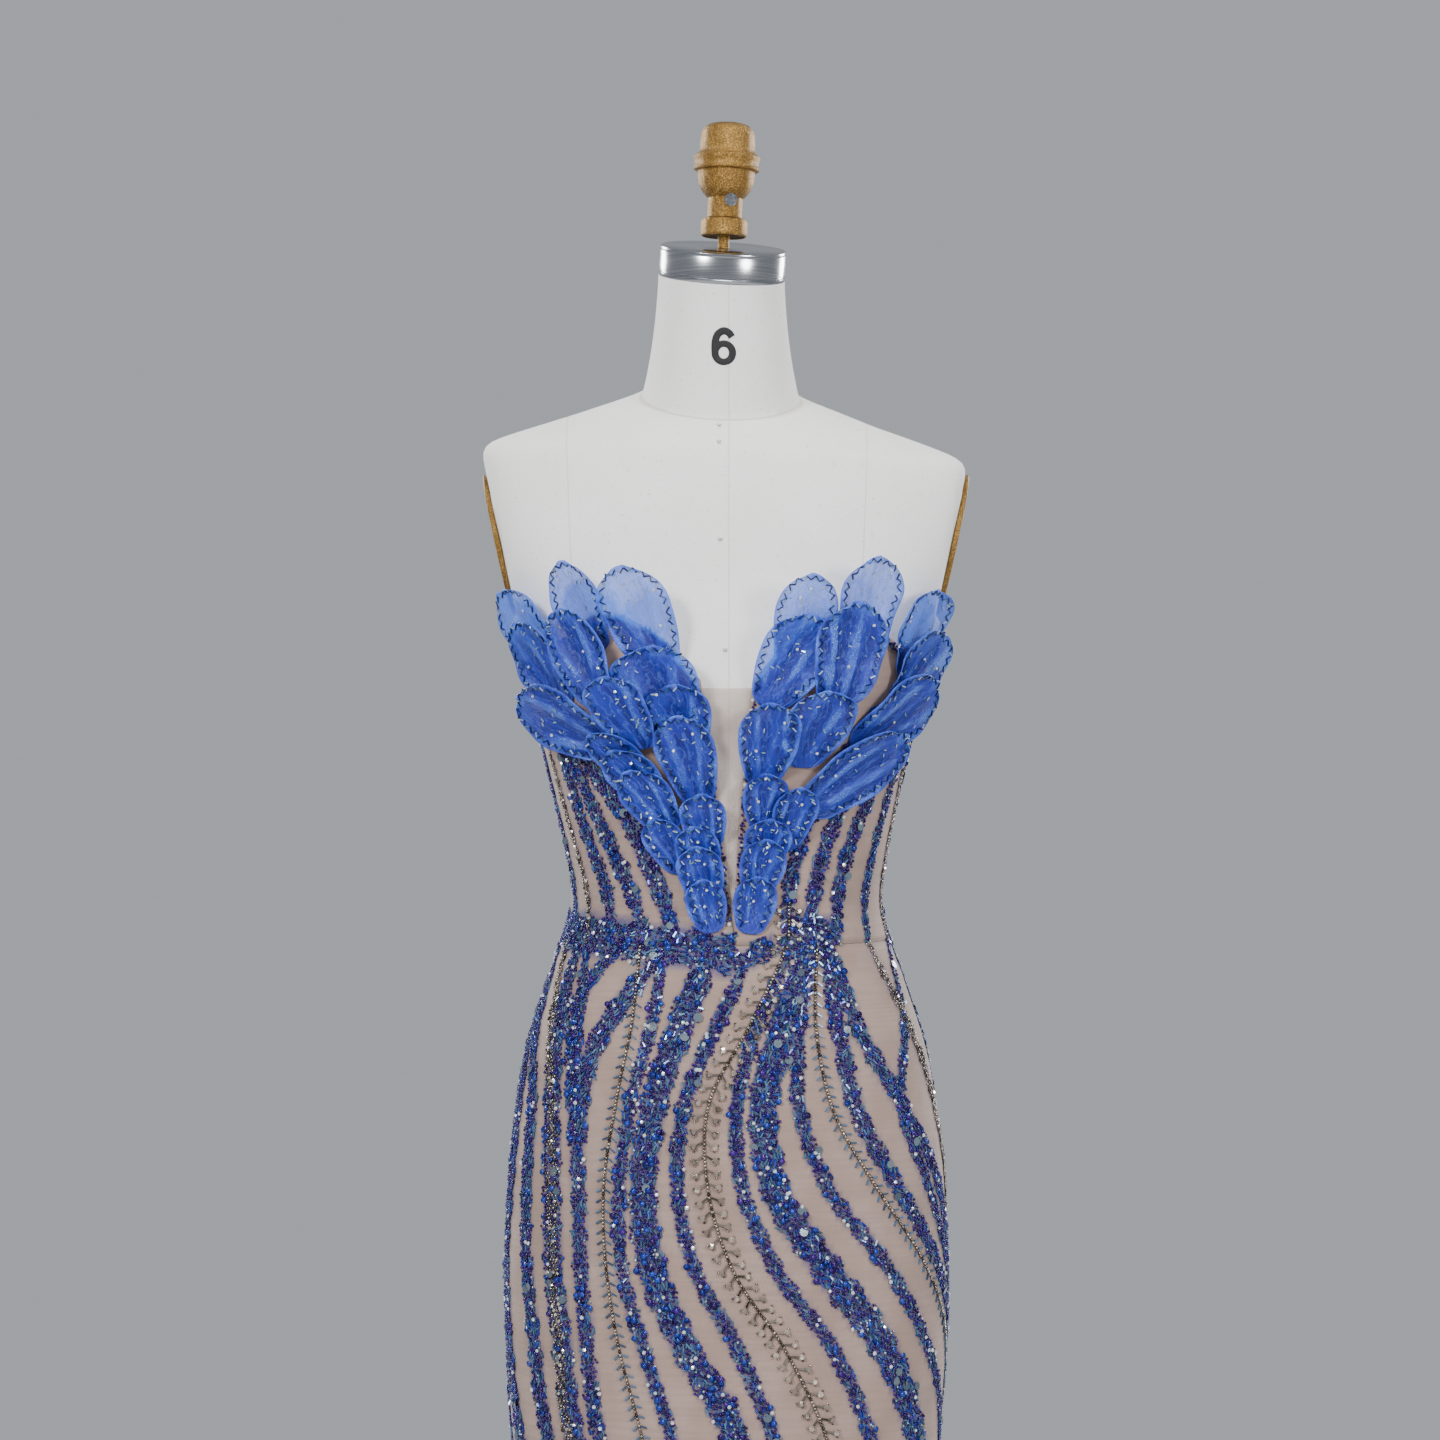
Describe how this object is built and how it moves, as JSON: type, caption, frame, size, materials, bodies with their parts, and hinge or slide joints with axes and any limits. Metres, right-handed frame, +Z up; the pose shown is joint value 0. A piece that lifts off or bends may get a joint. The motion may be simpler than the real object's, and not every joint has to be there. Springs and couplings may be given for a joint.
{
  "type": "strapless evening dress on a limbless dress form",
  "caption": "Fitted strapless mermaid gown with fans of organza petals, a deep V and beaded tulle, on a limbless dress form with a round foot.",
  "frame": {"origin": "on the floor, under the middle of the hem's box", "axes": "+Z up the form, -Y the front of the gown, +X the viewer's right when facing it"},
  "size_m": [0.624, 0.624, 1.6519],
  "materials": {
    "beaded_tulle": "nude tulle and lining covered with wavy bands of blue and purple beads",
    "nude_net": "fine sheer net",
    "organza": "crisp royal blue organza with a silky sheen",
    "zip_tape": "woven nude tape with nylon teeth",
    "zip_metal": "nickel plate",
    "form_canvas": "off-white canvas with fine specks",
    "cast_brass": "sand cast, satin",
    "polished_steel": "polished",
    "stand_paint": "satin black paint"
  },
  "bodies": {
    "gown_and_form": {"bodice_front_left": "beaded_tulle", "bodice_front_right": "beaded_tulle", "bodice_back_left": "beaded_tulle", "bodice_back_right": "beaded_tulle", "skirt_front": "beaded_tulle", "skirt_back_left": "beaded_tulle", "skirt_back_right": "beaded_tulle", "plunge_net": "nude_net", "zip_strip": "zip_tape", "zip_slider": "zip_metal", "petal_left_01": "organza", "petal_left_02": "organza", "petal_left_03": "organza", "petal_left_04": "organza", "petal_left_05": "organza", "petal_left_06": "organza", "petal_left_07": "organza", "petal_left_08": "organza", "petal_left_09": "organza", "petal_left_10": "organza", "petal_left_11": "organza", "petal_left_12": "organza", "petal_left_13": "organza", "petal_left_14": "organza", "petal_left_15": "organza", "petal_left_16": "organza", "petal_left_17": "organza", "petal_left_18": "organza", "petal_right_01": "organza", "petal_right_02": "organza", "petal_right_03": "organza", "petal_right_04": "organza", "petal_right_05": "organza", "petal_right_06": "organza", "petal_right_07": "organza", "petal_right_08": "organza", "petal_right_09": "organza", "petal_right_10": "organza", "petal_right_11": "organza", "petal_right_12": "organza", "petal_right_13": "organza", "petal_right_14": "organza", "petal_right_15": "organza", "form_torso": "form_canvas", "arm_plate_left": "cast_brass", "arm_plate_right": "cast_brass", "neck_cap": "polished_steel", "knob": "cast_brass", "knob_screw": "polished_steel", "stand_base": "stand_paint", "stand_pole": "polished_steel"},
    "zip_pull": {"zip_tab": "zip_metal"}
  },
  "joints": [
    {"name": "zip_pull_hinge", "type": "hinge", "parent": "gown_and_form", "child": "zip_pull", "pos_m": [0, 0.10155, 1.14948], "axis": [1, 0, 0], "range_deg": [0, 150]}
  ]
}
